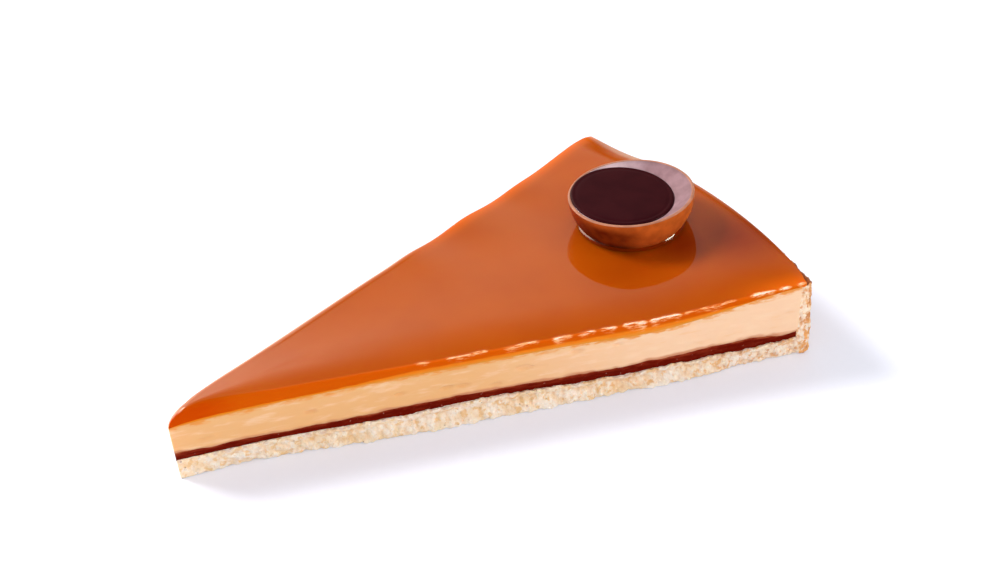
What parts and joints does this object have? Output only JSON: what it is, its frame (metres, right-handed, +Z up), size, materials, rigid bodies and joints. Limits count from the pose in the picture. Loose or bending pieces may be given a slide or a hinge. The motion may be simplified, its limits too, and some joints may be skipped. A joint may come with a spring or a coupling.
{
  "type": "slice of salted caramel tart",
  "caption": "Slice of salted caramel tart: crumb crust with a wall, chocolate layer, caramel cream, glossy caramel glaze, and a small filled chocolate cup on top",
  "frame": {"origin": "middle of the slice's outline on the surface it stands on", "axes": "X from the tip of the wedge to its crust wall, Y across the slice from the front cut to the back cut, Z up"},
  "size_m": [0.1357, 0.0792, 0.0274],
  "materials": {
    "crust": "dry, crumbly, pale gold with toasted edges",
    "chocolate_layer": "soft dark chocolate, faint sheen",
    "caramel_cream": "smooth cut cream, satin",
    "caramel_glaze": "wet, glossy",
    "chocolate_cup": "milk chocolate, satin",
    "cup_filling": "dark chocolate, smooth satin"
  },
  "bodies": {
    "root": {"crust": "crust", "chocolate_layer": "chocolate_layer", "caramel_cream": "caramel_cream", "caramel_glaze": "caramel_glaze", "chocolate_cup": "chocolate_cup", "cup_filling": "cup_filling"}
  },
  "joints": []
}
